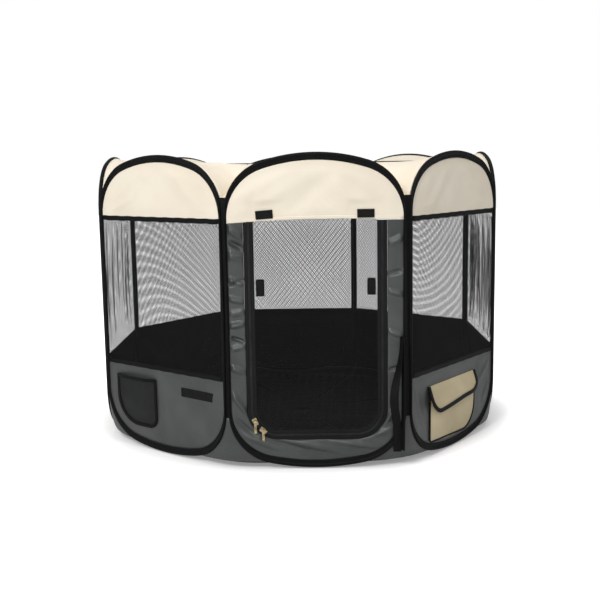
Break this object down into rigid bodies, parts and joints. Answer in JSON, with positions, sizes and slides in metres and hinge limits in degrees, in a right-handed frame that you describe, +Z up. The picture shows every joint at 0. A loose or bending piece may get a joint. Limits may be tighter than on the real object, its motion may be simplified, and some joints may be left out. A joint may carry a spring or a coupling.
{
  "type": "pet playpen",
  "caption": "Folding eight-sided fabric pen for pets, with sprung arched panels, mesh windows, a zipped mesh door, a zip-off mesh roof and outside pockets.",
  "frame": {"origin": "on the ground, under the middle of the floor mat", "axes": "+Z up, -Y out through the door panel, +X to the right seen from in front of the door"},
  "size_m": [0.842, 0.868, 0.5999],
  "materials": {
    "sprung_wire": "bare drawn spring wire",
    "black_binding": "woven polyester binding, slight sheen, one line of stitching",
    "cream_cloth": "coated oxford weave, matt",
    "grey_cloth": "coated oxford weave, matt, black inside",
    "black_mesh": "open polyester mesh",
    "beige_cloth": "coated oxford weave, matt",
    "black_webbing": "woven webbing",
    "zip_tape": "woven zip tape with a coil",
    "hook_tape": "hook and loop tape",
    "floor_cloth": "coated oxford weave, black",
    "zip_metal": "polished, lightly worn"
  },
  "bodies": {
    "panel_front_right": {"frame_wire_front_right": "sprung_wire", "binding_front_right": "black_binding", "cream_cloth_front_right": "cream_cloth", "mesh_window_front_right": "black_mesh", "lower_cloth_front_right": "grey_cloth", "flap_pocket": "beige_cloth"},
    "panel_right": {"frame_wire_right": "sprung_wire", "binding_right": "black_binding", "cream_cloth_right": "cream_cloth", "mesh_window_right": "black_mesh", "lower_cloth_right": "grey_cloth"},
    "panel_back_right": {"frame_wire_back_right": "sprung_wire", "binding_back_right": "black_binding", "cream_cloth_back_right": "cream_cloth", "mesh_window_back_right": "black_mesh", "lower_cloth_back_right": "grey_cloth"},
    "panel_back": {"frame_wire_back": "sprung_wire", "binding_back": "black_binding", "cream_cloth_back": "cream_cloth", "mesh_window_back": "black_mesh", "lower_cloth_back": "grey_cloth"},
    "panel_back_left": {"frame_wire_back_left": "sprung_wire", "binding_back_left": "black_binding", "cream_cloth_back_left": "cream_cloth", "mesh_window_back_left": "black_mesh", "lower_cloth_back_left": "grey_cloth"},
    "panel_left": {"frame_wire_left": "sprung_wire", "binding_left": "black_binding", "cream_cloth_left": "cream_cloth", "mesh_window_left": "black_mesh", "lower_cloth_left": "grey_cloth"},
    "panel_front_left": {"frame_wire_front_left": "sprung_wire", "binding_front_left": "black_binding", "cream_cloth_front_left": "cream_cloth", "mesh_window_front_left": "black_mesh", "lower_cloth_front_left": "grey_cloth", "mesh_pocket": "black_mesh", "hook_strip": "hook_tape"},
    "panel_front": {"frame_wire_front": "sprung_wire", "binding_front": "black_binding", "cream_cloth_front": "cream_cloth", "door_surround": "grey_cloth", "door_zip_tape": "zip_tape", "header_patches": "hook_tape", "carry_handle": "black_webbing", "floor_mat": "floor_cloth", "corner_gussets": "grey_cloth", "roof_rim": "cream_cloth", "roof_zip": "zip_tape"},
    "door": {"door_mesh": "black_mesh", "door_edge_tape": "zip_tape", "door_patches": "hook_tape"},
    "pocket_flap": {"pocket_flap": "beige_cloth"},
    "roof_cover": {"roof_mesh": "black_mesh"},
    "roof_slider": {"roof_slider": "zip_metal"},
    "door_slider_upper": {"door_slider_upper": "zip_metal"},
    "door_pull_upper": {"door_pull_upper": "zip_metal"},
    "door_slider_lower": {"door_slider_lower": "zip_metal"},
    "door_pull_lower": {"door_pull_lower": "zip_metal"}
  },
  "joints": [
    {"name": "fold", "type": "hinge", "parent": "panel_front", "child": "panel_front_right", "pos_m": [0.19766, -0.41439, 0.3], "axis": [0, 0, -1], "range_deg": [-120, 0], "deforming": ["floor_mat", "corner_gussets", "roof_rim", "roof_zip", "roof_mesh"]},
    {"name": "fold_right", "type": "hinge", "parent": "panel_front_right", "child": "panel_right", "pos_m": [0.41439, -0.14674, 0.3], "axis": [0, 0, 1], "range_deg": [-120, 0]},
    {"name": "fold_back_right", "type": "hinge", "parent": "panel_right", "child": "panel_back_right", "pos_m": [0.41439, 0.19766, 0.3], "axis": [0, 0, -1], "range_deg": [-120, 0]},
    {"name": "fold_back", "type": "hinge", "parent": "panel_back_right", "child": "panel_back", "pos_m": [0.14674, 0.41439, 0.3], "axis": [0, 0, 1], "range_deg": [-120, 0]},
    {"name": "fold_front_left", "type": "hinge", "parent": "panel_front", "child": "panel_front_left", "pos_m": [-0.14674, -0.41439, 0.3], "axis": [0, 0, -1], "range_deg": [-120, 0]},
    {"name": "fold_left", "type": "hinge", "parent": "panel_front_left", "child": "panel_left", "pos_m": [-0.41439, -0.19766, 0.3], "axis": [0, 0, 1], "range_deg": [-120, 0]},
    {"name": "fold_back_left", "type": "hinge", "parent": "panel_left", "child": "panel_back_left", "pos_m": [-0.41439, 0.14674, 0.3], "axis": [0, 0, -1], "range_deg": [-120, 0]},
    {"name": "door_hinge", "type": "hinge", "parent": "panel_front", "child": "door", "pos_m": [0.02543, -0.41734, 0.475], "axis": [-0.9999, 0.0102, 0], "range_deg": [0, 160]},
    {"name": "zip_upper", "type": "hinge", "parent": "panel_front", "child": "door_slider_upper", "pos_m": [-0.04856, -0.41539, 0.117], "axis": [0.0102, 0.9999, 0], "range_deg": [0, 27]},
    {"name": "pull_upper", "type": "hinge", "parent": "door_slider_upper", "child": "door_pull_upper", "pos_m": [-0.09312, -0.42084, 0.09334], "axis": [-0.9999, 0.0102, 0], "range_deg": [0, 150]},
    {"name": "zip_lower", "type": "hinge", "parent": "panel_front", "child": "door_slider_lower", "pos_m": [-0.04856, -0.41539, 0.117], "axis": [-0.0102, -0.9999, 0], "range_deg": [0, 35]},
    {"name": "pull_lower", "type": "hinge", "parent": "door_slider_lower", "child": "door_pull_lower", "pos_m": [-0.07824, -0.42099, 0.07623], "axis": [-0.9999, 0.0102, 0], "range_deg": [0, 150]},
    {"name": "flap_hinge", "type": "hinge", "parent": "panel_front_right", "child": "pocket_flap", "pos_m": [0.30666, -0.28617, 0.14348], "axis": [-0.6214, -0.7835, 0], "range_deg": [0, 150]},
    {"name": "roof_lift", "type": "slide", "parent": "panel_front", "child": "roof_cover", "axis": [0, 0, 1], "range_m": [0, 0.15]},
    {"name": "roof_zip_run", "type": "hinge", "parent": "panel_front", "child": "roof_slider", "pos_m": [0, 0, 0.58], "axis": [0, 0, 1], "range_deg": [0, 345]}
  ],
  "couplings": [
    {"joint": "fold_right", "follows": "fold", "ratio": 1},
    {"joint": "fold_back_right", "follows": "fold", "ratio": 1},
    {"joint": "fold_back", "follows": "fold", "ratio": 1},
    {"joint": "fold_front_left", "follows": "fold", "ratio": 1},
    {"joint": "fold_left", "follows": "fold", "ratio": 1},
    {"joint": "fold_back_left", "follows": "fold", "ratio": 1}
  ]
}
